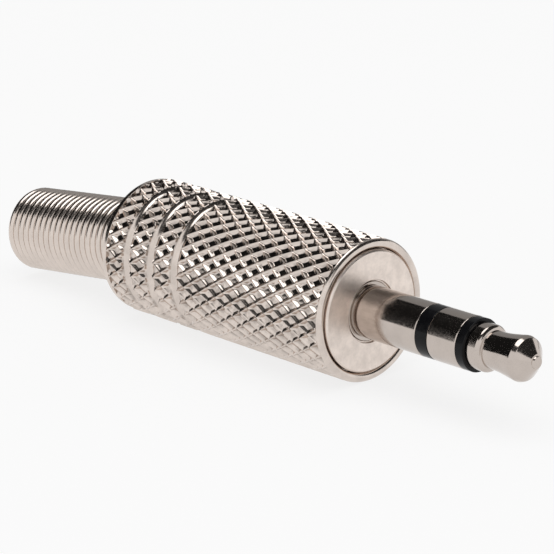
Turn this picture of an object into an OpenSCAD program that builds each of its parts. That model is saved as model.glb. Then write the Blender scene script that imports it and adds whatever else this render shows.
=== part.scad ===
// Stereo jack plug with a screw-on knurled barrel and a spring strain relief.
// The plug's axis is X, with the nose towards +X. The origin is on the axis at the front of the disc.
// Stations along the axis are worked out from the shoulder, forwards for the contacts and
// backwards for the thread, the solder lugs and the barrel. Millimetres.

/* [Shaft] */
// Outer diameter of the plug's shaft
shaft_d = 3.5; // [3.3:0.05:3.7]
// Length of the sleeve contact in front of the disc
sleeve_len = 5.42; // [4.5:0.05:6.5]
// Length of the insulating ring behind the ring contact
ring_insulator_len = 1; // [0.5:0.05:1.4]
// Length of the ring contact's band
ring_len = 2.4; // [1.5:0.05:3]
// Length of the insulating ring behind the tip
tip_insulator_len = 0.66; // [0.4:0.02:1.2]

/* [Tip] */
// Length of the tip in front of its insulating ring
tip_len = 4.6; // [4:0.05:5.2]
// Diameter of the bead at the back of the tip
bead_d = 3.06; // [2.7:0.02:3.3]
// Length of the bead
bead_len = 1; // [0.6:0.05:1.3]
// Diameter of the neck in front of the bead
neck_d = 2.42; // [2:0.02:2.6]
// Largest diameter of the head that the jack's spring catches
head_d = 2.96; // [2.8:0.02:3.2]
// Length of the blunt cone at the nose
nose_len = 1.08; // [0.7:0.02:1.5]
// Diameter of the small flat end
nose_d = 0.62; // [0.4:0.02:0.9]

/* [Concentric tubes] */
// Diameter of the rod behind the tip
rod_d = 1; // [0.8:0.05:1.1]
// Outer diameter of the ring contact's tube
ring_tube_d = 2.2; // [2.1:0.05:2.3]
// Wall of the ring contact's tube
ring_tube_wall = 0.27; // [0.2:0.01:0.3]
// Wall of the sleeve contact's tube
sleeve_wall = 0.38; // [0.3:0.01:0.4]
// Diameter of the sleeve contact's rear tube, which seats in the threaded body
collar_d = 3.98; // [3.94:0.02:4.1]

/* [Threaded body] */
// Diameter of the disc
disc_d = 8.2; // [7.9:0.05:8.24]
// Thickness of the disc
disc_t = 0.9; // [0.7:0.05:1.3]
// Width of the chamfer round the disc's front edge
disc_chamfer = 0.12; // [0.05:0.01:0.25]
// Diameter of the thread
thread_d = 7.5; // [7:0.05:7.55]
// Length of the body behind the disc
thread_len = 4.5; // [3.5:0.1:5.5]
// Diameter of the short boss that the ground lug is staked on
boss_d = 4.6; // [4.5:0.05:5]
// Length of the boss
boss_len = 0.75; // [0.7:0.05:1]

/* [Lugs and washers] */
// Thickness of the solder lugs' sheet
lug_t = 0.35; // [0.25:0.01:0.45]
// Thickness of the ground lug's sheet
ground_t = 0.4; // [0.3:0.01:0.5]
// Diameter of the ground lug's ring
ground_ring_d = 6.2; // [5.8:0.05:6.4]
// Thickness of the insulating washers
washer_t = 0.55; // [0.4:0.01:0.7]
// Diameter of the washer behind the threaded body
rear_washer_d = 4.4; // [4.2:0.05:4.4]
// Diameter of the washer between the two solder lugs
lug_washer_d = 4.1; // [4:0.05:4.2]
// Diameter of the ring lug's eye
ring_lug_d = 4.2; // [3.8:0.05:4.4]
// Diameter of the tip lug's eye
tip_lug_d = 2.8; // [2.4:0.05:3.2]
// Length of the solder lugs' tabs
tab_len = 3; // [2.6:0.1:3.4]
// Width of the solder lugs' tabs
tab_w = 1.5; // [1.3:0.05:1.8]
// Diameter of the wire holes
wire_hole_d = 0.8; // [0.5:0.05:0.9]

/* [Cable clamp] */
// Distance from the disc's front to the clamp's front edge
clamp_at = 10.6; // [10.2:0.1:10.8]
// Length of the clamp
clamp_len = 3.2; // [2.6:0.1:3.3]
// Inner diameter of the clamp's open wings
clamp_d = 4.7; // [4.5:0.05:4.8]
// Height of the wings above the axis
wing_h = 1.5; // [1:0.1:1.8]
// Width of the strap between the ground lug's ring and the clamp
strap_w = 2.6; // [2:0.1:3]

/* [Barrel] */
// Outer diameter over the knurl's ridges
barrel_d = 9.6; // [9.55:0.01:9.8]
// Length of the barrel
barrel_len = 21.6; // [21.4:0.05:22.4]
// Distance of the barrel's front rim behind the disc's face
rim_step = 0.05; // [0.02:0.01:0.1]
// Number of knurl ridges round the barrel, each way
knurl_starts = 30; // [20:1:40]
// Length of one knurl cell along the barrel
knurl_cell = 1.58; // [1.4:0.01:1.6]
// Depth of the knurl
knurl_depth = 0.3; // [0.2:0.01:0.34]
// Rows in each short band between the grooves
band_rows = 2; // [1:1:2]
// Smooth width in front of the knurl
rim_w = 0.3; // [0.25:0.01:0.45]
// Width of the fine line that parts the knurl from a smooth edge
knurl_relief = 0.03; // [0.02:0.01:0.06]
// Width of the round grooves behind the front band
groove_w = 0.88; // [0.6:0.01:0.9]
// Depth of the grooves
groove_depth = 0.5; // [0.4:0.01:0.52]
// Number of grooves
groove_count = 3; // [1:1:3]
// Inner diameter of the barrel behind its thread
barrel_bore_d = 7.9; // [7.85:0.01:8]
// Thickness of the barrel's rear wall
rear_wall = 1.1; // [0.8:0.05:1.3]
// Diameter of the hole that the spring comes out of
rear_hole_d = 6.8; // [6.7:0.05:7]
// Least width of the plain rear edge
rear_edge_w = 0.4; // [0.3:0.05:0.6]
// Rounding of the barrel's rear edge
rear_round = 0.18; // [0.1:0.01:0.3]

/* [Liner] */
// Outer diameter of the liner
liner_d = 7.4; // [7.3:0.02:7.42]
// Wall of the liner
liner_wall = 0.25; // [0.15:0.01:0.3]
// Room between the liner and the spring's front turn
liner_room = 1.5; // [1:0.1:2]

/* [Spring] */
// Diameter of the spring's wire
wire_d = 0.585; // [0.5:0.005:0.6]
// Outer diameter of the spring
spring_d = 6.1; // [5.8:0.05:6.2]
// Number of turns behind the barrel
outer_turns = 22; // [12:1:26]
// Number of wide turns that hold the spring in the barrel
held_turns = 2; // [1:1:2]
// Outer diameter of the widest turn
held_d = 7.2; // [7.1:0.02:7.3]
// Angle at which the spring droops from the barrel
droop = 6.5; // [0:0.5:7]

/* [Fits] */
// Radial gap between parts that are pressed or staked together
press_gap = 0.02; // [0.01:0.005:0.03]
// Radial gap between the thread and the barrel
thread_gap = 0.05; // [0.03:0.01:0.08]
// Radial gap between the disc and the barrel's rim
rim_gap = 0.06; // [0.04:0.01:0.1]
// Gap between stacked faces
stack_gap = 0.02; // [0.01:0.005:0.03]
// Gap between neighbouring turns of the spring
turn_gap = 0.015; // [0.01:0.005:0.05]
// Room between the barrel's rear wall and the turn that widens behind it
held_gap = 0.45; // [0.4:0.01:0.5]

/* [Hidden] */

nickel = [0.80, 0.76, 0.72];
satin_nickel = [0.74, 0.71, 0.68];
tinned = [0.82, 0.82, 0.80];
black_plastic = [0.06, 0.06, 0.06];
natural_plastic = [0.86, 0.83, 0.74];
fibre = [0.35, 0.12, 0.08];

// A cut reaches this far past the face that it opens
past = 0.5;

// Stations in front of the shoulder, each the front of its piece
x_sleeve = sleeve_len;
x_ring_insulator = x_sleeve + ring_insulator_len;
x_ring = x_ring_insulator + ring_len;
x_tip_insulator = x_ring + tip_insulator_len;
x_nose = x_tip_insulator + tip_len;

// Stations behind the shoulder, each the rear of its piece
x_thread = -disc_t - thread_len;
x_boss = x_thread - boss_len;
x_rear_washer = x_boss - stack_gap - washer_t;
x_ring_lug = x_rear_washer - stack_gap - lug_t;
ring_peen_len = 0.25;
x_ring_tube = x_ring_lug - stack_gap - ring_peen_len;
x_lug_washer = x_ring_tube - stack_gap - washer_t;
x_tip_lug = x_lug_washer - stack_gap - lug_t;
rod_peen_len = 0.35;
x_rod = x_tip_lug - stack_gap - rod_peen_len;

// The barrel, from its front rim to its rear face
x_rim = -rim_step;
x_seat = -disc_t - stack_gap;
barrel_thread_past = 0.5;
x_barrel_thread = x_thread - barrel_thread_past;
x_rear = x_rim - barrel_len;
x_rear_wall = x_rear + rear_wall;
barrel_r = barrel_d / 2;
pit_r = barrel_r - knurl_depth;
x_knurl = x_rim - rim_w;
row_len = knurl_cell / 2;
band_step = groove_w + band_rows * row_len;
// As many rows of the front band as the barrel's length leaves room for
knurled_len = barrel_len - rim_w - 2 * knurl_relief - rear_edge_w;
front_rows = floor((knurled_len - groove_count * band_step) / row_len);
x_first_groove = x_knurl - knurl_relief - front_rows * row_len;
x_knurl_rear = x_first_groove - groove_count * band_step;

// Diameters of the concentric tubes, from the rod outwards
tip_tube_id = rod_d + 2 * press_gap;
ring_tube_id = ring_tube_d - 2 * ring_tube_wall;
tip_tube_od = ring_tube_id - 2 * press_gap;
ring_sleeve_id = ring_tube_d + 2 * press_gap;
sleeve_id = shaft_d - 2 * sleeve_wall;
ring_sleeve_od = sleeve_id - 2 * press_gap;
body_bore_d = collar_d + 2 * press_gap;
// The countersink round the sleeve shows as a dark ring
collar_sink_w = 0.12;
collar_sink_d = collar_d + 2 * collar_sink_w;
collar_sink_t = 0.2;
// The peened ends are this much wider than the holes that they hold
peen_lap = 0.35;
edge_break = 0.05;
// Front of the sleeve's rear tube, a little behind the disc's face
x_collar = -0.12;

// Radius of the strap's inner face, which the clamp's wings carry on
strap_r = clamp_d / 2;
tab_r = 2.15;
tip_tab_r = 1.15;

// The spring
coil_r = (spring_d - wire_d) / 2;
held_r = (held_d - wire_d) / 2;
coil_pitch = wire_d + turn_gap;
spring_lead = held_turns * coil_pitch + rear_wall + held_gap;
x_liner = x_rear + spring_lead + wire_d / 2 + liner_room;
wire_sides = 6;
steps_per_turn = 16;

fine = 96;
coarse = 48;

// Turns a shape that was drawn along Z so that it lies along X
module along_x() {
    rotate([0, 90, 0])
        children();
}

// A tube or, with no bore, a rod along the plug's axis
module tube(x_from, x_to, od, id = 0) {
    translate([x_from, 0, 0])
        along_x()
            difference() {
                cylinder(h = x_to - x_from, d = od, $fn = fine);
                if (id > 0)
                    translate([0, 0, -past])
                        cylinder(h = x_to - x_from + 2 * past, d = id, $fn = fine);
            }
}

// A turned piece from its outline, given as [radius, station] points
module turned(outline) {
    along_x()
        rotate_extrude($fn = fine)
            polygon(outline);
}

// A contact band or an insulating ring flush with the shaft, with its front and rear edges broken
module shaft_band(x_from, x_to, id) {
    turned([[id / 2, x_from], [shaft_d / 2 - edge_break, x_from], [shaft_d / 2, x_from + edge_break],
            [shaft_d / 2, x_to - edge_break], [shaft_d / 2 - edge_break, x_to], [id / 2, x_to]]);
}

// The tip's nose, head, neck and bead, and its rod to the peened end behind the last lug
module tip_contact() {
    bead_round = 0.14;
    x_bead = x_tip_insulator + bead_len;
    x_head = x_nose - nose_len;
    rod_r = rod_d / 2;
    shoulder_r = 0.93 * head_d / 2;
    cone_r = (shoulder_r + nose_d) / 2;
    cone_len = 0.36 * nose_len;
    nose_bevel = 0.06;
    neck_taper = 0.03;
    peen_round = 0.1;
    color(nickel)
        turned([[0, x_rod], [rod_r + peen_round, x_rod], [rod_r + peen_lap, x_rod + rod_peen_len / 2],
                [rod_r + peen_lap, x_rod + rod_peen_len], [rod_r, x_rod + rod_peen_len],
                [rod_r, x_tip_insulator + stack_gap],
                [bead_d / 2 - bead_round / 2, x_tip_insulator + stack_gap],
                [bead_d / 2, x_tip_insulator + bead_round], [bead_d / 2, x_bead - bead_round],
                [bead_d / 2 - bead_round, x_bead], [neck_d / 2, x_bead + bead_round / 2],
                [neck_d / 2 + neck_taper, x_bead + bead_len], [head_d / 2, x_head - bead_round],
                [head_d / 2, x_head], [shoulder_r, x_head + nose_len / 4],
                [cone_r, x_nose - cone_len],
                [nose_d / 2, x_nose - nose_bevel], [nose_d / 2 - 2 * nose_bevel, x_nose], [0, x_nose]]);
}

module tip_insulator_ring() {
    color(black_plastic)
        shaft_band(x_ring + stack_gap, x_tip_insulator, tip_tube_id);
}

module tip_insulating_tube() {
    color(natural_plastic)
        tube(x_ring_tube, x_ring, tip_tube_od, tip_tube_id);
}

// The band, its tube and the lip that is peened over the ring lug
module ring_contact() {
    bore_r = ring_tube_id / 2;
    tube_r = ring_tube_d / 2;
    x_band = x_ring_insulator + stack_gap;
    x_lip = x_ring_tube + ring_peen_len;
    color(nickel)
        turned([[bore_r, x_ring_tube], [tube_r + peen_lap, x_ring_tube], [tube_r + peen_lap, x_lip],
                [tube_r, x_lip], [tube_r, x_band], [shaft_d / 2 - edge_break, x_band],
                [shaft_d / 2, x_band + edge_break], [shaft_d / 2, x_ring - edge_break],
                [shaft_d / 2 - edge_break, x_ring], [bore_r, x_ring]]);
}

module ring_insulator_ring() {
    color(black_plastic)
        shaft_band(x_sleeve + stack_gap, x_ring_insulator, ring_sleeve_id);
}

module ring_insulating_tube() {
    color(natural_plastic)
        tube(x_boss, x_sleeve, ring_sleeve_od, ring_sleeve_id);
}

// The sleeve: the shaft in front, and a wider tube that runs through the threaded body
module sleeve_contact() {
    bore_r = sleeve_id / 2;
    shaft_r = shaft_d / 2;
    collar_r = collar_d / 2;
    color(nickel)
        turned([[bore_r, x_boss], [collar_r, x_boss],
                [collar_r, x_collar - edge_break], [collar_r - edge_break, x_collar],
                [shaft_r, x_collar], [shaft_r, x_sleeve - edge_break],
                [shaft_r - edge_break, x_sleeve], [bore_r, x_sleeve]]);
}

// Disc, thread relief, thread and rear boss, turned from one piece
module threaded_body() {
    relief_len = 0.5;
    thread_chamfer = 0.3;
    relief_d = thread_d - 2 * thread_chamfer;
    color(satin_nickel)
        difference() {
            turned([[0, 0], [disc_d / 2 - disc_chamfer, 0], [disc_d / 2, -disc_chamfer],
                    [disc_d / 2, -disc_t], [relief_d / 2, -disc_t], [relief_d / 2, -disc_t - relief_len],
                    [thread_d / 2, -disc_t - relief_len - thread_chamfer],
                    [thread_d / 2, x_thread + thread_chamfer], [thread_d / 2 - thread_chamfer, x_thread],
                    [boss_d / 2, x_thread], [boss_d / 2, x_boss], [0, x_boss]]);
            tube(x_boss - past, past, body_bore_d);
            tube(-collar_sink_t, past, collar_sink_d);
        }
}

module rear_insulating_washer() {
    color(fibre)
        tube(x_rear_washer, x_rear_washer + washer_t, rear_washer_d, ring_sleeve_id);
}

module lug_insulating_washer() {
    color(fibre)
        tube(x_lug_washer, x_lug_washer + washer_t, lug_washer_d, tip_tube_id);
}

// A solder lug: an eye on the axis, and a tab that is folded back beside it and has a wire hole.
// tab_at is the height of the tab's inner face above the axis before the lug is turned.
module solder_lug(x_at, eye_d, hole_d, tab_at, turn) {
    x_hole = x_at - tab_len + tab_w / 2;
    rotate([turn, 0, 0])
        difference() {
            union() {
                translate([x_at, 0, 0])
                    along_x()
                        cylinder(h = lug_t, d = eye_d, $fn = coarse);
                translate([x_at, -tab_w / 2, 0])
                    cube([lug_t, tab_w, tab_at + lug_t]);
                translate([x_hole, -tab_w / 2, tab_at])
                    cube([x_at - x_hole + lug_t, tab_w, lug_t]);
                translate([x_hole, 0, tab_at])
                    cylinder(h = lug_t, d = tab_w, $fn = coarse);
            }
            tube(x_at - past, x_at + lug_t + past, hole_d);
            translate([x_hole, 0, tab_at - past])
                cylinder(h = lug_t + 2 * past, d = wire_hole_d, $fn = coarse);
        }
}

module ring_lug() {
    color(tinned)
        solder_lug(x_ring_lug, ring_lug_d, ring_sleeve_id, tab_r, 0);
}

module tip_lug() {
    color(tinned)
        solder_lug(x_tip_lug, tip_lug_d, tip_tube_id, tip_tab_r, 90);
}

// The ring on the boss, the strap under the lugs, and the clamp's two wings with their grip ribs
module ground_lug() {
    ring_rear = x_thread - stack_gap - ground_t;
    clamp_front = -clamp_at;
    clamp_rear = clamp_front - clamp_len;
    rib_t = 0.18;
    rib_count = 2;
    color(tinned)
        difference() {
            union() {
                tube(ring_rear, ring_rear + ground_t, ground_ring_d);
                translate([clamp_rear, -strap_w / 2, -strap_r - ground_t])
                    cube([ring_rear + ground_t - clamp_rear, strap_w, ground_t]);
                intersection() {
                    tube(clamp_rear, clamp_front, clamp_d + 2 * ground_t, clamp_d);
                    translate([clamp_rear - past, -clamp_d, -clamp_d])
                        cube([clamp_len + 2 * past, 2 * clamp_d, clamp_d + wing_h]);
                }
                for (i = [1:rib_count])
                    intersection() {
                        tube(clamp_rear + i * clamp_len / (rib_count + 1) - rib_t,
                             clamp_rear + i * clamp_len / (rib_count + 1) + rib_t,
                             clamp_d + ground_t, clamp_d - 2 * rib_t);
                        translate([clamp_rear - past, -clamp_d, -clamp_d])
                            cube([clamp_len + 2 * past, 2 * clamp_d, clamp_d]);
                    }
            }
            tube(ring_rear - past, ring_rear + ground_t + past, boss_d + 2 * press_gap);
            translate([-clamp_at + (clamp_at + ring_rear) / 2, 0, -strap_r - ground_t - past])
                cylinder(h = ground_t + 2 * past, d = wire_hole_d, $fn = coarse);
        }
}

// A band of knurl: points stand on the ridges' crossings and sink at the pits in turn, and each
// square between four of them is split along its ridge. The row at each end is joined to the
// middle of the end face.
module knurl_band(x_from, rows) {
    cols = 2 * knurl_starts;
    // Half a column's turn lays the barrel on two neighbouring lines of crossings
    turn = 90 / knurl_starts;
    points = concat(
        [for (k = [0:rows]) for (i = [0:cols - 1])
            let (r = (i + k) % 2 == 0 ? barrel_r : pit_r, a = i * 360 / cols + turn)
                [x_from - k * row_len, r * cos(a), r * sin(a)]],
        [[x_from, 0, 0], [x_from - rows * row_len, 0, 0]]);
    front = (rows + 1) * cols;
    back = front + 1;
    function at(k, i) = k * cols + i % cols;
    faces = concat(
        [for (k = [0:rows - 1]) for (i = [0:cols - 1])
            each (i + k) % 2 == 0
                ? [[at(k, i), at(k, i + 1), at(k + 1, i + 1)], [at(k, i), at(k + 1, i + 1), at(k + 1, i)]]
                : [[at(k, i), at(k, i + 1), at(k + 1, i)], [at(k, i + 1), at(k + 1, i + 1), at(k + 1, i)]]],
        [for (i = [0:cols - 1]) [at(0, i + 1), at(0, i), front]],
        [for (i = [0:cols - 1]) [at(rows, i), at(rows, i + 1), back]]);
    polyhedron(points = points, faces = faces, convexity = 10);
}

// The turned form under the knurl: the rim, the round grooves and the plain rear edge
module barrel_core() {
    rim_chamfer = 0.16;
    // The core lies a little under the pits, and the plain edge a little under the ridges
    core_inset = 0.02;
    plain_inset = 0.06;
    core_r = pit_r - core_inset;
    plain_r = barrel_r - plain_inset;
    dip = groove_depth - knurl_depth;
    arc_steps = 8;
    grooves = [for (g = [0:groove_count - 1]) for (k = [0:arc_steps])
        [core_r - dip * sin(180 * k / arc_steps),
         x_first_groove - g * band_step - groove_w * k / arc_steps]];
    turned(concat(
        [[0, x_rim], [barrel_r - rim_chamfer, x_rim], [barrel_r, x_rim - rim_chamfer],
         [barrel_r, x_knurl + edge_break], [barrel_r - edge_break, x_knurl], [core_r, x_knurl]],
        grooves,
        [[core_r, x_knurl_rear - knurl_relief], [plain_r, x_knurl_rear - knurl_relief],
         [plain_r, x_rear + rear_round], [plain_r - rear_round, x_rear], [0, x_rear]]));
}

// The barrel: the turned form with its knurled bands, and a bore that is stepped for the disc, the
// thread, the liner and the spring's wide turns
module barrel() {
    rim_bore_r = disc_d / 2 + rim_gap;
    thread_bore_r = thread_d / 2 + thread_gap;
    bore_r = barrel_bore_d / 2;
    hole_r = rear_hole_d / 2;
    hole_chamfer = 0.2;
    color(nickel)
        difference() {
            union() {
                barrel_core();
                knurl_band(x_knurl - knurl_relief, front_rows);
                for (g = [1:groove_count])
                    knurl_band(x_first_groove - g * band_step + band_rows * row_len, band_rows);
            }
            turned([[0, x_rear - past], [hole_r + hole_chamfer + past, x_rear - past],
                    [hole_r, x_rear + hole_chamfer], [hole_r, x_rear_wall], [bore_r, x_rear_wall],
                    [bore_r, x_barrel_thread], [thread_bore_r, x_barrel_thread],
                    [thread_bore_r, x_seat], [rim_bore_r, x_seat], [rim_bore_r, x_rim + past],
                    [0, x_rim + past]]);
        }
}

module insulating_liner() {
    color(natural_plastic)
        tube(x_liner, x_barrel_thread, liner_d, liner_d - 2 * liner_wall);
}

// The spring's helix, drawn along its own axis from the barrel's rear face. The turns inside the
// rear wall widen to the held diameter, which can't pass the hole.
module strain_relief_spring() {
    turns = outer_turns + held_turns + (rear_wall + held_gap) / coil_pitch;
    steps = round(turns * steps_per_turn);
    function coil_r_at(n) =
        let (widen = max(0, 1 - n / held_turns))
            coil_r + (held_r - coil_r) * sin(90 * min(1, 1.6 * widen));
    points = [for (s = [0:steps]) for (j = [0:wire_sides - 1])
        let (n = s / steps_per_turn, a = 360 * n, b = 360 * j / wire_sides + 90,
             r = coil_r_at(n) + wire_d / 2 * cos(b), x = spring_lead - n * coil_pitch + wire_d / 2 * sin(b))
            [x, r * cos(a), r * sin(a)]];
    function at(s, j) = s * wire_sides + j % wire_sides;
    faces = concat(
        [for (s = [0:steps - 1]) for (j = [0:wire_sides - 1])
            each [[at(s, j), at(s, j + 1), at(s + 1, j + 1)], [at(s, j), at(s + 1, j + 1), at(s + 1, j)]]],
        [[for (j = [wire_sides - 1:-1:0]) at(0, j)]],
        [[for (j = [0:wire_sides - 1]) at(steps, j)]]);
    color(nickel)
        translate([x_rear, 0, 0])
            rotate([0, -droop, 0])
                polyhedron(points = points, faces = faces, convexity = 10);
}

tip_contact();
tip_insulator_ring();
tip_insulating_tube();
ring_contact();
ring_insulator_ring();
ring_insulating_tube();
sleeve_contact();
threaded_body();
rear_insulating_washer();
ring_lug();
lug_insulating_washer();
tip_lug();
ground_lug();
barrel();
insulating_liner();
strain_relief_spring();
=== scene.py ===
"""Looks of the stereo jack plug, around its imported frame. Shapes are worked out in millimetres."""
import math

import bmesh
import bpy
import numpy as np
from mathutils import Matrix, Vector


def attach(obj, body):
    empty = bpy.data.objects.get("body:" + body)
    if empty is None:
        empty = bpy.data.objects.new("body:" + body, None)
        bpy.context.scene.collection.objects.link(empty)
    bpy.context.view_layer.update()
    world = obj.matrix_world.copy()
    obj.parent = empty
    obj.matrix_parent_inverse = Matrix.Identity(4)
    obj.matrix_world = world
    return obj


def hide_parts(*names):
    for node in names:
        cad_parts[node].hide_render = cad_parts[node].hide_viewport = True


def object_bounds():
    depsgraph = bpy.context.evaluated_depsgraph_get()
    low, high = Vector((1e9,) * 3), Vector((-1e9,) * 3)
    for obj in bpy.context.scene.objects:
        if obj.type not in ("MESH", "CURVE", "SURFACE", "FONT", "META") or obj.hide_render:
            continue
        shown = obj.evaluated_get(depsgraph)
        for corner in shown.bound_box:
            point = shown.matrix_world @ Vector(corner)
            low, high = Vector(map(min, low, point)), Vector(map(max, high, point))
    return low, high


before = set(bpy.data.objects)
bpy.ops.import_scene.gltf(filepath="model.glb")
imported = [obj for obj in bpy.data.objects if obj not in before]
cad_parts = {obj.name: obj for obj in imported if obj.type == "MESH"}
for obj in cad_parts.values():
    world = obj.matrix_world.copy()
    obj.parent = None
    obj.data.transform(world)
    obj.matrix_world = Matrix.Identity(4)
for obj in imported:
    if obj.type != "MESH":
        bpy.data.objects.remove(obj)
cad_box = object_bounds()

MM = 0.001
TAU = 2 * math.pi

# The shaft and the threaded body: stations along the axis, and radii, as in the CAD model
X_SLEEVE, X_RING_INSULATOR, X_RING, X_TIP_INSULATOR, X_NOSE = 5.42, 6.42, 8.82, 9.48, 14.08
X_COLLAR, X_DISC, X_THREAD, X_BOSS = -0.12, -0.9, -5.4, -6.15
X_RING_LIP, X_RING_TUBE, X_ROD_LIP, X_ROD = -7.11, -7.36, -8.32, -8.67
SHAFT_R, COLLAR_R, DISC_R, BOSS_R = 1.75, 1.99, 4.1, 2.3
ROD_R, RING_BORE_R, RING_TUBE_R, SLEEVE_BORE_R = 0.5, 0.83, 1.1, 1.37
STACK_GAP, PRESS_GAP = 0.02, 0.02
PEEN_LAP = 0.35
THREAD_PITCH = 0.5

# The barrel
RIDGE_R, PIT_R, PLAIN_R = 4.8, 4.57, 4.74
RIM_BORE_R, THREAD_BORE_R, BORE_R, HOLE_R = 4.16, 3.8, 3.95, 3.4
X_RIM, X_LIP, X_KNURL, X_SEAT, X_BARREL_THREAD = -0.05, -0.3, -0.38, -0.92, -5.9
X_REAR_WALL, X_KNURL_REAR, X_PLAIN, X_REAR = -20.55, -21.19, -21.22, -21.65
X_GROOVE, GROOVE_COUNT, GROOVE_PITCH, GROOVE_WIDTH, GROOVE_DEPTH = -13.81, 3, 2.46, 0.88, 0.52
GROOVES = [(X_GROOVE - k * GROOVE_PITCH, X_GROOVE - k * GROOVE_PITCH - GROOVE_WIDTH)
           for k in range(GROOVE_COUNT)]
# A knurl cell is two rows long, and each half cell takes this many mesh steps both ways
ROW = 0.79
HALF_CELL = 6
STARTS = 30
COLUMNS = 2 * STARTS * HALF_CELL
ROW_STEP = ROW / HALF_CELL

# The spring
WIRE_R, COIL_R, HELD_R = 0.2925, 2.7575, 3.3075
COIL_PITCH = 0.6
OUTER_TURNS, HELD_TURNS, HELD_GAP, REAR_WALL = 22, 2, 0.45, 1.1
DROOP = math.radians(6.5)
# Share of a turn that puts the wire's cut end on the far side
END_TURN = 0.45

# Steps round a turned piece, and how close to its corners the shading stays straight
LATHE_COLUMNS = 128
HOLD_INSET = 0.02
# Points nearer than this, in metres, are one
MERGE_DISTANCE = 1e-8

NICKEL = (0.56, 0.495, 0.45)


# Mesh building
class Surface:
    """Collects rows of points, each row a ring round the X axis, and joins neighbouring rows."""

    def __init__(self):
        self.points = []
        self.faces = []

    def add(self, rows, shift=0, diagonal=None):
        """rows is (rows, columns, 3). Past the last column a row goes on as the row `shift` further
        on, which makes a helix. diagonal(row, column) is true where a quad is split from its first
        corner."""
        rows = np.asarray(rows, float)
        n_rows, n_cols = rows.shape[:2]
        first = len(self.points)
        self.points.extend(rows.reshape(-1, 3).tolist())

        def at(j, i):
            if i == n_cols:
                return first + min(j + shift, n_rows - 1) * n_cols
            return first + j * n_cols + i

        for j in range(n_rows - 1):
            for i in range(n_cols):
                a, b, c, d = at(j, i), at(j, i + 1), at(j + 1, i + 1), at(j + 1, i)
                if diagonal is None:
                    self.faces.append((a, b, c, d))
                elif diagonal(j, i):
                    self.faces += [(a, b, c), (a, c, d)]
                else:
                    self.faces += [(a, b, d), (b, c, d)]

    def make(self, name, material, sharp):
        """The closed mesh, smooth but for edges sharper than that angle."""
        mesh = bpy.data.meshes.new(name)
        mesh.from_pydata((np.array(self.points) * MM).tolist(), [], self.faces)
        bm = bmesh.new()
        bm.from_mesh(mesh)
        bmesh.ops.remove_doubles(bm, verts=bm.verts, dist=MERGE_DISTANCE)
        bmesh.ops.dissolve_degenerate(bm, edges=bm.edges, dist=MERGE_DISTANCE)
        bmesh.ops.recalc_face_normals(bm, faces=bm.faces)
        bm.to_mesh(mesh)
        bm.free()
        mesh.materials.append(material)
        mesh.shade_smooth()
        mesh.set_sharp_from_angle(angle=math.radians(sharp))
        obj = bpy.data.objects.new(name, mesh)
        bpy.context.scene.collection.objects.link(obj)
        return obj


def turn_rows(x, r, columns):
    """Rings from stations x and radii r, each given as one number for each row or for each point."""
    r = np.asarray(r, float)
    if r.ndim == 1:
        r = np.repeat(r[:, None], columns, axis=1)
    x = np.asarray(x, float)
    if x.ndim == 1:
        x = np.repeat(x[:, None], columns, axis=1)
    # A quarter of a knurl cell's turn lays the barrel on two neighbouring lines of crossings
    a = np.radians(90 / STARTS) + np.arange(columns) * TAU / columns
    return np.stack([x, r * np.cos(a), r * np.sin(a)], axis=-1)


def hold(points):
    """Adds a point near both ends of each long stretch, so that its shading stays straight up to
    the corners."""
    out = [points[0]]
    for here, there in zip(points[:-1], points[1:]):
        length = np.linalg.norm(there - here)
        if length > 5 * HOLD_INSET:
            step = (there - here) * HOLD_INSET / length
            out += [here + step, there - step]
        out.append(there)
    return np.array(out)


def soften(outline, radius, steps=3):
    """Rounds an outline's inner corners, given as (station, radius, own rounding or nothing)."""
    points = [np.array(p[:2], float) for p in outline]
    out = [points[0]]
    for k in range(1, len(points) - 1):
        own = outline[k][2] if len(outline[k]) > 2 else radius
        before, here, after = points[k - 1], points[k], points[k + 1]
        to_before, to_after = before - here, after - here
        len_before, len_after = np.linalg.norm(to_before), np.linalg.norm(to_after)
        # Two roundings on one stretch never meet
        cut = min(own, 0.45 * len_before, 0.45 * len_after)
        start = here + to_before / len_before * cut
        end = here + to_after / len_after * cut
        for s in range(steps + 1):
            t = s / steps
            out.append((1 - t) ** 2 * start + 2 * t * (1 - t) * here + t * t * end)
    out.append(points[-1])
    return hold(out)


def lathe(name, outline, material, rounding=0.03, sharp=35.0):
    """A turned piece from an outline whose ends meet, or lie on the axis."""
    profile = soften(outline, rounding)
    surface = Surface()
    surface.add(turn_rows(profile[:, 0], profile[:, 1], LATHE_COLUMNS))
    return surface.make(name, material, sharp)


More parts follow.
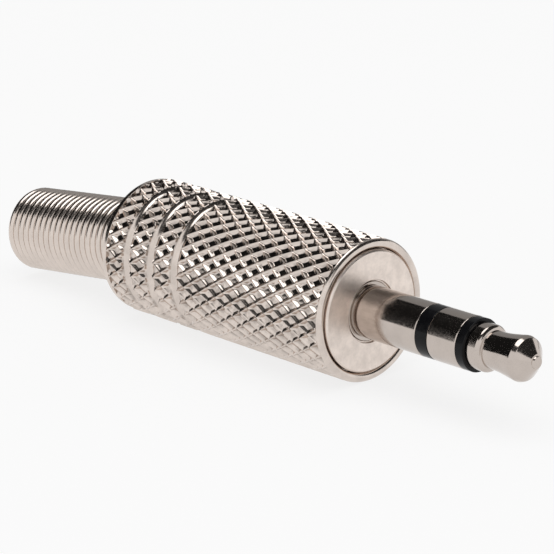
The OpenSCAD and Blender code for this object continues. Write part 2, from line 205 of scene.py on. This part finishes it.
# Materials
class Nodes:
    """Short ways to make a material's nodes."""

    def __init__(self, name, metallic=0.0):
        self.material = bpy.data.materials.new(name)
        self.material.use_nodes = True
        self.tree = self.material.node_tree
        self.shader = self.tree.nodes["Principled BSDF"]
        self.shader.inputs["Metallic"].default_value = metallic
        self.place = self.new("ShaderNodeTexCoord").outputs["Object"]

    def new(self, kind, **values):
        node = self.tree.nodes.new(kind)
        for key, value in values.items():
            setattr(node, key, value)
        return node

    def join(self, source, target):
        self.tree.links.new(source, target)

    def surface(self, colour, roughness):
        self.join(colour, self.shader.inputs["Base Color"])
        self.join(roughness, self.shader.inputs["Roughness"])

    def math(self, operation, a, b=0.0):
        node = self.new("ShaderNodeMath", operation=operation)
        for socket, value in zip(node.inputs, (a, b)):
            if isinstance(value, (int, float)):
                socket.default_value = value
            else:
                self.join(value, socket)
        return node.outputs[0]

    def noise(self, scale, detail=3.0, rough=0.55, stretch=(1, 1, 1)):
        """Noise whose scale is in features for each millimetre."""
        mapping = self.new("ShaderNodeMapping")
        mapping.inputs["Scale"].default_value = [s / MM for s in stretch]
        self.join(self.place, mapping.inputs["Vector"])
        node = self.new("ShaderNodeTexNoise")
        node.inputs["Scale"].default_value = scale
        node.inputs["Detail"].default_value = detail
        node.inputs["Roughness"].default_value = rough
        self.join(mapping.outputs["Vector"], node.inputs["Vector"])
        return node.outputs["Fac"]

    def ramp(self, value, low, high, to_low=0.0, to_high=1.0):
        node = self.new("ShaderNodeMapRange", interpolation_type="SMOOTHSTEP")
        node.inputs["From Min"].default_value = low
        node.inputs["From Max"].default_value = high
        node.inputs["To Min"].default_value = to_low
        node.inputs["To Max"].default_value = to_high
        self.join(value, node.inputs["Value"])
        return node.outputs["Result"]

    def mix(self, factor, colour_a, colour_b):
        """Mix of two colours, each a tuple or another node's output."""
        node = self.new("ShaderNodeMix", data_type="RGBA")
        self.join(factor, node.inputs["Factor"])
        for socket, value in ((node.inputs["A"], colour_a), (node.inputs["B"], colour_b)):
            if isinstance(value, tuple):
                socket.default_value = (*value, 1.0)
            else:
                self.join(value, socket)
        return node.outputs["Result"]

    def radius_and_station(self):
        """Distance from the plug's axis and station along it, in millimetres."""
        split = self.new("ShaderNodeSeparateXYZ")
        self.join(self.place, split.inputs[0])
        x, y, z = (self.math("MULTIPLY", output, 1 / MM) for output in split.outputs)
        squares = self.math("ADD", self.math("POWER", y, 2.0), self.math("POWER", z, 2.0))
        return self.math("SQRT", squares), x

    def bump(self, height, depth_mm):
        node = self.new("ShaderNodeBump")
        node.inputs["Strength"].default_value = 1.0
        node.inputs["Distance"].default_value = depth_mm * MM
        self.join(height, node.inputs["Height"])
        self.join(node.outputs["Normal"], self.shader.inputs["Normal"])


def tint(colour, factor):
    return tuple(c * factor for c in colour)


def clouded(n, colour, rough, spread, cloud=0.8, grain=7.0, low=0.92):
    """Faint clouds in a metal's colour, down to the share `low` of it, and a slightly uneven gloss."""
    clouds = n.ramp(n.noise(cloud, 6.0, 0.68), 0.3, 0.7)
    gloss = n.ramp(n.noise(grain, 5.0, 0.65), 0.3, 0.75, rough, rough + spread)
    n.surface(n.mix(clouds, tint(colour, low), colour), gloss)


def pitted(n, grain=7.0, depth=0.0006):
    """Fine pitting of the plate."""
    n.bump(n.noise(grain * 2, 4.0, 0.7), depth)


def plated(name, colour, rough, spread):
    """Polished nickel plate."""
    n = Nodes(name, metallic=1.0)
    clouded(n, colour, rough, spread)
    pitted(n)
    return n.material


def knurled_metal():
    """Nickel over the knurl: brighter ridges, a painted highlight, and darker pits, painted shade."""
    n = Nodes("knurled_nickel", metallic=1.0)
    radius, station = n.radius_and_station()
    middle, half = (X_KNURL + X_KNURL_REAR) / 2, (X_KNURL - X_KNURL_REAR) / 2 + 0.02
    inside = n.math("LESS_THAN", n.math("ABSOLUTE", n.math("SUBTRACT", station, middle)), half)
    outer = n.math("GREATER_THAN", radius, PIT_R - 0.06)
    # Points sunk below the ridges take the pit colour by their depth: painted shade in the pits
    depth = n.ramp(radius, PIT_R + 0.02, RIDGE_R - 0.06, 1.0, 0.0)
    raised = n.math("SUBTRACT", 1.0, n.math("MULTIPLY", depth, n.math("MULTIPLY", inside, outer)))
    # The pits' colour, darker than the ridges', is painted shade; the ridges' colour, brighter than the
    # nickel, is a painted highlight
    blotch = n.ramp(n.noise(1.6, 3.0), 0.35, 0.65, 0.1, 0.8)
    pit = n.mix(blotch, tint(NICKEL, 0.75), tint(NICKEL, 1.4))
    ridge = n.mix(n.ramp(n.noise(0.8, 4.0), 0.3, 0.7), tint(NICKEL, 1.1), tint(NICKEL, 1.3))
    n.surface(n.mix(raised, pit, ridge), n.ramp(raised, 0.0, 1.0, 0.12, 0.18))
    pitted(n)
    return n.material


def satin_metal():
    """Satin nickel of the turned disc, with fine turned rings."""
    n = Nodes("satin_nickel", metallic=1.0)
    clouded(n, tint(NICKEL, 1.58), 0.28, 0.16, cloud=1.1, low=0.8)
    ring_angle_per_mm = 95.0
    radius, _ = n.radius_and_station()
    wobble = n.math("ADD", n.math("MULTIPLY", radius, ring_angle_per_mm),
                    n.math("MULTIPLY", n.noise(2.0), 6.0))
    speckle = n.math("MULTIPLY", n.noise(9.0, 4.0, 0.7), 3.0)
    n.bump(n.math("ADD", n.math("SINE", wobble), speckle), 0.0013)
    return n.material


def tinned_metal():
    """Dull tin plate on stamped brass."""
    n = Nodes("tinned_brass", metallic=1.0)
    clouded(n, (0.71, 0.70, 0.67), 0.27, 0.16, cloud=1.2, grain=4.0)
    pitted(n, grain=4.0, depth=0.0015)
    return n.material


def plastic(name, colour, dark, rough, level=0.5, clear=0.0):
    """Moulded or drawn plastic with a faint mottling and a slightly uneven skin."""
    n = Nodes(name)
    n.surface(n.mix(n.ramp(n.noise(1.4, 4.0), 0.3, 0.7), dark, colour),
              n.ramp(n.noise(5.0, 4.0), 0.3, 0.7, rough, rough + 0.12))
    n.shader.inputs["Specular IOR Level"].default_value = level
    n.shader.inputs["Transmission Weight"].default_value = clear
    n.bump(n.noise(7.5, 3.0), 0.0008)
    return n.material


def fibre_board():
    """Vulcanised fibre: dark red sheet with short pressed fibres."""
    n = Nodes("fibre")
    strands = n.noise(3.0, 5.0, 0.7, stretch=(4, 1, 1))
    n.surface(n.mix(n.ramp(strands, 0.35, 0.65), (0.16, 0.035, 0.022), (0.30, 0.085, 0.055)),
              n.ramp(strands, 0.3, 0.7, 0.5, 0.75))
    n.bump(strands, 0.004)
    return n.material


MATERIALS = {
    "nickel": plated("nickel", NICKEL, 0.09, 0.08),
    "knurled_nickel": knurled_metal(),
    # The spring's nickel is 1.3 times as bright as the rest: a painted highlight that whitens its lines
    "spring_nickel": plated("spring_nickel", tint(NICKEL, 1.3), 0.13, 0.1),
    "satin_nickel": satin_metal(),
    "tinned_brass": tinned_metal(),
    "black_plastic": plastic("black_plastic", (0.008, 0.008, 0.009), (0.004, 0.004, 0.005), 0.14,
                             level=0.15),
    "natural_plastic": plastic("natural_plastic", (0.78, 0.74, 0.64), (0.68, 0.63, 0.52), 0.32,
                               clear=0.35),
    "fibre": fibre_board(),
}


def finish_piece(obj, body, node):
    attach(obj, body)
    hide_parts(node)


# The shaft
def tip_contact():
    """The peened end, the rod, the bead, the neck, the head, the cone and the small button on its end."""
    peen_r, bead_r, head_r, button_r = ROD_R + PEEN_LAP, 1.53, 1.475, 0.39
    x_back, x_peen = X_TIP_INSULATOR + STACK_GAP, (X_ROD + X_ROD_LIP) / 2
    return lathe("tip_turned", [
        (X_ROD, 0), (X_ROD, 0.6), (x_peen, peen_r, 0.08), (X_ROD_LIP, peen_r), (X_ROD_LIP, ROD_R),
        (x_back, ROD_R), (x_back, 1.47), (9.62, bead_r, 0.06), (10.36, bead_r, 0.1),
        (10.5, 1.37, 0.06), (10.55, 1.215, 0.03), (11.5, 1.25, 0.4), (12.86, head_r, 0.05),
        (13.0, head_r, 0.05), (13.27, 1.376, 0.03), (13.72, 0.80, 0.05), (13.94, 0.5, 0.03),
        (13.95, 0.41, 0.01), (X_NOSE, button_r, 0.03), (X_NOSE, 0)],
        MATERIALS["nickel"], rounding=0.02, sharp=24)


def ring_contact():
    """The band and its tube, with the lip that holds the ring lug."""
    x_band, lip_r = X_RING_INSULATOR + STACK_GAP, RING_TUBE_R + PEEN_LAP
    return lathe("ring_turned", [
        (X_RING, RING_BORE_R), (X_RING, SHAFT_R, 0.06), (x_band, SHAFT_R, 0.06),
        (x_band, RING_TUBE_R), (X_RING_LIP, RING_TUBE_R), (X_RING_LIP, lip_r), (X_RING_TUBE, lip_r),
        (X_RING_TUBE, RING_BORE_R), (X_RING, RING_BORE_R)], MATERIALS["nickel"])


def sleeve_contact():
    """The shaft, a fine undercut behind the disc's face, and the wider tube through the threaded body."""
    undercut_r = SHAFT_R - 0.06
    return lathe("sleeve_turned", [
        (X_SLEEVE, SLEEVE_BORE_R), (X_SLEEVE, SHAFT_R, 0.06), (0, SHAFT_R, 0.03),
        (X_COLLAR / 2, undercut_r, 0.01), (X_COLLAR, undercut_r), (X_COLLAR, COLLAR_R, 0.05),
        (X_BOSS, COLLAR_R), (X_BOSS, SLEEVE_BORE_R), (X_SLEEVE, SLEEVE_BORE_R)], MATERIALS["nickel"])


def insulator_ring(name, x_from, x_to, bore_r):
    """A black ring that lies a hair under the metal beside it."""
    ring_r = SHAFT_R - 0.01
    return lathe(name, [
        (x_to, bore_r), (x_to, ring_r, 0.05), (x_from, ring_r, 0.05), (x_from, bore_r),
        (x_to, bore_r)], MATERIALS["black_plastic"])


finish_piece(tip_contact(), "plug_core", "tip_contact")
finish_piece(ring_contact(), "plug_core", "ring_contact")
finish_piece(sleeve_contact(), "plug_core", "sleeve_contact")
finish_piece(insulator_ring("tip_insulator_moulded", X_RING + STACK_GAP, X_TIP_INSULATOR,
                            ROD_R + PRESS_GAP),
             "plug_core", "tip_insulator_ring")
finish_piece(insulator_ring("ring_insulator_moulded", X_SLEEVE + STACK_GAP, X_RING_INSULATOR,
                            RING_TUBE_R + PRESS_GAP),
             "plug_core", "ring_insulator_ring")


# The threaded body
def threaded_body():
    """Disc, relief, cut thread and boss, one closed turned surface."""
    columns, per_pitch = 120, 10
    x_start, x_end = -1.4, X_THREAD
    relief_r, crest_r, root_r, chamfer = 3.45, 3.75, 3.5, 0.3
    bore_r, sink_r, x_sink, edge = COLLAR_R + PRESS_GAP, 2.11, -0.2, 0.12
    front = soften([
        (x_end, relief_r), (x_end, BOSS_R), (X_BOSS, BOSS_R), (X_BOSS, bore_r), (x_sink, bore_r),
        (x_sink, sink_r), (0, sink_r, 0.05), (0, DISC_R - edge, 0.03), (-edge, DISC_R, 0.03),
        (X_DISC, DISC_R), (X_DISC, relief_r), (x_start, relief_r)], 0.03)
    surface = Surface()
    surface.add(turn_rows(front[:, 0], front[:, 1], columns))
    n_rows = int(per_pitch * (x_start - x_end) / THREAD_PITCH) + 2 * per_pitch + 2
    rows = np.arange(n_rows)[:, None] - per_pitch
    turn = np.arange(columns)[None, :] / columns
    x = np.clip(x_start - THREAD_PITCH * (rows / per_pitch + turn), x_end, x_start)
    phase = (rows % per_pitch) / per_pitch
    # A triangle wave cut off at both ends: flat root, sloping flanks, flat crest
    crest = np.clip(2.6 * (1 - np.abs(2 * phase - 1)) - 0.35, 0, 1)
    rise = np.clip(np.minimum(x_start - x, x - x_end) / chamfer, 0, 1)
    envelope = relief_r + rise * (crest_r - relief_r)
    r = np.minimum(envelope, root_r + (crest_r - root_r) * crest)
    surface.add(turn_rows(x, r, columns), shift=per_pitch)
    return surface.make("threaded_body_turned", MATERIALS["satin_nickel"], 30)


finish_piece(threaded_body(), "plug_core", "threaded_body")


# The barrel
def from_ridge(value):
    """Mesh steps from the nearest ridge of one of the two helices."""
    return np.abs((value + HALF_CELL) % (2 * HALF_CELL) - HALF_CELL)


def knurl_radius(x, columns):
    """Round ridges on two crossing helices, and square pits with flat floors between them."""
    ridge_steps = 2.8
    # Mesh steps along the barrel and round it
    q = (X_KNURL - np.asarray(x)[:, None]) / ROW * HALF_CELL
    p = columns[None, :]
    t = np.clip(np.minimum(from_ridge(p + q), from_ridge(p - q)) / ridge_steps, 0, 1)
    return RIDGE_R - (RIDGE_R - PIT_R) * (1 - np.cos(math.pi * t)) / 2


def knurl_stations():
    """Stations of the mesh's rows from the knurl's front to its rear, with finer rows in the grooves."""
    cut_steps, clear = 12, 0.03
    stations = list(np.arange(X_KNURL, X_KNURL_REAR - 1e-6, -ROW_STEP))
    for x_from, x_to in GROOVES:
        stations = [x for x in stations if not x_to - clear < x < x_from + clear]
        stations += [x_from + (x_to - x_from) * (1 - math.cos(math.pi * k / cut_steps)) / 2
                     for k in range(cut_steps + 1)]
    return np.array(sorted(stations, reverse=True))


def barrel():
    """Rim, knurled bands and grooves, rear wall, bore and inner thread, one closed surface."""
    columns = np.arange(COLUMNS)
    x_rows, r_rows = [], []

    def rings(points):
        for x, r in points:
            x_rows.append(x)
            r_rows.append(np.full(COLUMNS, float(r)))

    # The rim's rounded lip in front of the knurl
    rings(soften([(X_LIP, RIM_BORE_R), (-0.14, 4.26, 0.05), (X_RIM, 4.42, 0.08), (-0.07, 4.62, 0.08),
                  (-0.2, 4.76, 0.06), (-0.31, RIDGE_R, 0.03), (-0.36, PIT_R, 0.02), (X_KNURL, PIT_R)],
                 0.03, 2))
    # Knurled bands and the grooves between them
    stations = knurl_stations()
    knurl = knurl_radius(stations, columns)
    for x_from, x_to in GROOVES:
        t = np.clip((stations - x_to) / (x_from - x_to), 0, 1)
        depth = GROOVE_DEPTH * np.sqrt(np.clip(1 - (2 * t - 1) ** 2, 0, 1))
        knurl = np.minimum(knurl, (RIDGE_R - depth)[:, None])
    first_knurl = len(x_rows)
    x_rows += list(stations)
    r_rows += list(knurl)
    last_knurl = len(x_rows)
    # Plain rear edge, the hole's chamfer, the rear wall and the bore
    chamfer = 0.2
    rings(soften([(X_KNURL_REAR - 0.01, PIT_R), (X_PLAIN, PLAIN_R, 0.02), (X_REAR, PLAIN_R, 0.18),
                  (X_REAR, HOLE_R + chamfer, 0.03), (X_REAR + chamfer, HOLE_R, 0.03),
                  (X_REAR_WALL, HOLE_R)], 0.03))
    rings([(X_REAR_WALL, BORE_R), (X_BARREL_THREAD, BORE_R), (X_BARREL_THREAD, THREAD_BORE_R)])
    # The inner thread, and the seat of the disc
    per_pitch, groove_half = 4, 0.11
    for x in np.arange(X_BARREL_THREAD + 0.1, X_SEAT - 0.12, THREAD_PITCH / per_pitch):
        phase = x / THREAD_PITCH + columns / COLUMNS
        x_rows.append(x)
        r_rows.append(THREAD_BORE_R + groove_half * (1 - np.cos(TAU * phase)))
    rings([(X_SEAT, THREAD_BORE_R), (X_SEAT, RIM_BORE_R), (X_LIP, RIM_BORE_R)])

    def diagonal(j, i):
        """Splits each quad of the knurl along the nearer ridge."""
        if not first_knurl <= j < last_knurl:
            return True
        q = (X_KNURL - (x_rows[j] + x_rows[j + 1]) / 2) / ROW_STEP
        return from_ridge(i + 0.5 - q) <= from_ridge(i + 0.5 + q)

    surface = Surface()
    surface.add(turn_rows(x_rows, np.array(r_rows), COLUMNS), diagonal=diagonal)
    return surface.make("barrel_knurled", MATERIALS["knurled_nickel"], 70)


finish_piece(barrel(), "barrel", "barrel")


# The spring
def spring():
    """The close-wound helix, with its wide turns behind the barrel's rear wall and both ends of the
    wire cut flat."""
    per_turn, sides, end_chamfer = 48, 12, 0.85
    lead = HELD_TURNS * COIL_PITCH + REAR_WALL + HELD_GAP
    turns = OUTER_TURNS + HELD_TURNS + (REAR_WALL + HELD_GAP) / COIL_PITCH
    n = np.linspace(0, turns, int(turns * per_turn) + 1)
    # Full width for three quarters of a turn, then narrower until the held turns end
    widen = np.clip(1.6 * np.clip(1 - n / HELD_TURNS, 0, 1), 0, 1)
    coil = COIL_R + (HELD_R - COIL_R) * np.sin(math.pi / 2 * widen)
    a = TAU * (n + END_TURN)
    around = TAU * np.arange(sides) / sides
    r = coil[:, None] + WIRE_R * np.cos(around)[None, :]
    x = (lead - n * COIL_PITCH)[:, None] + WIRE_R * np.sin(around)[None, :]
    wire = np.stack([x, r * np.cos(a)[:, None], r * np.sin(a)[:, None]], axis=-1)
    centres = np.stack([lead - n * COIL_PITCH, coil * np.cos(a), coil * np.sin(a)], axis=-1)
    ends = [centres[0] + (wire[0] - centres[0]) * k for k in (0.0, end_chamfer)]
    tails = [centres[-1] + (wire[-1] - centres[-1]) * k for k in (end_chamfer, 0.0)]
    rows = np.concatenate([ends, wire, tails])
    c, s = math.cos(DROOP), math.sin(DROOP)
    rows = np.stack([rows[..., 0] * c - rows[..., 2] * s + X_REAR, rows[..., 1],
                     rows[..., 0] * s + rows[..., 2] * c], axis=-1)
    surface = Surface()
    surface.add(rows)
    return surface.make("spring_wound", MATERIALS["spring_nickel"], 60)


finish_piece(spring(), "spring", "strain_relief_spring")

# The nodes that keep their CAD form
DRESSED = {
    "tip_insulating_tube": "natural_plastic", "ring_insulating_tube": "natural_plastic",
    "insulating_liner": "natural_plastic", "rear_insulating_washer": "fibre",
    "lug_insulating_washer": "fibre", "ring_lug": "tinned_brass", "tip_lug": "tinned_brass",
    "ground_lug": "tinned_brass",
}
for node_name, slot_name in DRESSED.items():
    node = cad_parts[node_name]
    if not node.material_slots:
        node.data.materials.append(None)
    for material_slot in node.material_slots:
        material_slot.material = MATERIALS[slot_name]

# The camera, as fitted to the photograph
CAMERA_AT = Vector((103.06, -106.25, 47.45)) * MM
RIGHT = Vector((0.6883, 0.7254, 0.0)).normalized()
AHEAD = Vector((-0.6938, 0.6584, -0.2918)).normalized()
UP = RIGHT.cross(AHEAD).normalized()
camera_data = bpy.data.cameras.new("camera")
camera_data.lens = 155.96
camera_data.sensor_width = 36.0
camera_data.clip_start = 0.005
camera = bpy.data.objects.new("camera", camera_data)
camera.matrix_world = Matrix.Translation(CAMERA_AT) @ Matrix((RIGHT, UP, -AHEAD)).transposed().to_4x4()
bpy.context.scene.collection.objects.link(camera)
bpy.context.scene.camera = camera

# The studio: lengths in metres, directions in degrees round the plug and above the floor
FLOOR_HALF_SIZE = 4.0
FLOOR_COLOUR = (0.9, 0.9, 0.9, 1)
# Share of plain white in the floor as it is seen. The rest shows the object's shadow.
FLOOR_WHITE = 0.8
WORLD_STRENGTH = 0.5
LAMP_DISTANCE = 0.6
LAMP_AIM = Vector((-0.004, 0, 0))
WALL_DISTANCE = 0.5
WALL_STEPS = 24


def seen_directly(tree):
    """1 for camera, glossy and transmission rays, to which the studio looks white."""
    rays = tree.nodes.new("ShaderNodeLightPath")
    total = rays.outputs["Is Camera Ray"]
    for name in ("Is Glossy Ray", "Is Transmission Ray"):
        node = tree.nodes.new("ShaderNodeMath")
        node.operation = "MAXIMUM"
        tree.links.new(total, node.inputs[0])
        tree.links.new(rays.outputs[name], node.inputs[1])
        total = node.outputs[0]
    return total


def staged_sheet(name, points, faces):
    """A sheet of the studio, with an empty material for it and that material's output node."""
    mesh = bpy.data.meshes.new(name)
    mesh.from_pydata(points, [], faces)
    sheet = bpy.data.objects.new(name, mesh)
    bpy.context.scene.collection.objects.link(sheet)
    material = bpy.data.materials.new(name)
    material.use_nodes = True
    tree = material.node_tree
    tree.nodes.clear()
    mesh.materials.append(material)
    return sheet, tree, tree.nodes.new("ShaderNodeOutputMaterial")


def white_floor(height):
    """A white floor that takes a faint shadow."""
    a = FLOOR_HALF_SIZE
    floor, tree, out = staged_sheet(
        "floor", [(-a, -a, height), (a, -a, height), (a, a, height), (-a, a, height)], [(0, 1, 2, 3)])
    diffuse = tree.nodes.new("ShaderNodeBsdfDiffuse")
    diffuse.inputs["Color"].default_value = FLOOR_COLOUR
    glow = tree.nodes.new("ShaderNodeEmission")
    mix = tree.nodes.new("ShaderNodeMixShader")
    share = tree.nodes.new("ShaderNodeMath")
    share.operation = "MULTIPLY"
    share.inputs[1].default_value = FLOOR_WHITE
    tree.links.new(seen_directly(tree), share.inputs[0])
    tree.links.new(share.outputs[0], mix.inputs[0])
    tree.links.new(diffuse.outputs[0], mix.inputs[1])
    tree.links.new(glow.outputs[0], mix.inputs[2])
    tree.links.new(mix.outputs[0], out.inputs["Surface"])


def white_world(strength):
    world = bpy.data.worlds.new("studio")
    bpy.context.scene.world = world
    world.use_nodes = True
    tree = world.node_tree
    background = tree.nodes["Background"]
    background.inputs["Color"].default_value = (1, 1, 1, 1)
    level = tree.nodes.new("ShaderNodeMapRange")
    level.inputs["To Min"].default_value = strength
    level.inputs["To Max"].default_value = 1.0
    tree.links.new(seen_directly(tree), level.inputs["Value"])
    tree.links.new(level.outputs["Result"], background.inputs["Strength"])


def towards(azimuth, elevation):
    """Unit direction, seen from the plug."""
    a, e = math.radians(azimuth), math.radians(elevation)
    return Vector((math.cos(e) * math.cos(a), math.cos(e) * math.sin(a), math.sin(e)))


def lamp(name, azimuth, elevation, size, power):
    """A square lamp that faces the plug."""
    data = bpy.data.lights.new(name, "AREA")
    data.shape = "RECTANGLE"
    data.size = size
    data.size_y = size
    data.energy = power
    obj = bpy.data.objects.new(name, data)
    way = towards(azimuth, elevation)
    obj.location = way * LAMP_DISTANCE + LAMP_AIM
    obj.rotation_euler = way.to_track_quat("Z", "Y").to_euler()
    bpy.context.scene.collection.objects.link(obj)


def dark_wall(name, azimuths, elevations, level):
    """A dark curved flat of the studio, which only polished surfaces see."""
    points, faces = [], []
    for e in np.linspace(*elevations, WALL_STEPS + 1):
        for a in np.linspace(*azimuths, WALL_STEPS + 1):
            points.append(towards(a, e) * WALL_DISTANCE)
    for k in range(WALL_STEPS):
        for m in range(WALL_STEPS):
            corner = k * (WALL_STEPS + 1) + m
            faces.append((corner, corner + 1, corner + WALL_STEPS + 2, corner + WALL_STEPS + 1))
    wall, tree, out = staged_sheet(name, points, faces)
    glow = tree.nodes.new("ShaderNodeEmission")
    glow.inputs["Color"].default_value = (level, level, level, 1)
    tree.links.new(glow.outputs[0], out.inputs["Surface"])
    wall.visible_camera = False
    wall.visible_diffuse = False
    wall.visible_shadow = False
    wall.visible_transmission = False


white_floor(cad_box[0][2])
white_world(WORLD_STRENGTH)
lamp("top_lamp", -60, 82, 0.7, 2.0)
dark_wall("dark_side", (-128, -207), (3, 66), 0.012)
dark_wall("grey_side", (-207, -270), (-4, 66), 0.33)
dark_wall("dark_front", (-128, 90), (40, 68), 0.03)
dark_wall("dark_nose", (-14, 90), (20, 40), 0.03)

bpy.context.scene.view_settings.view_transform = "Standard"
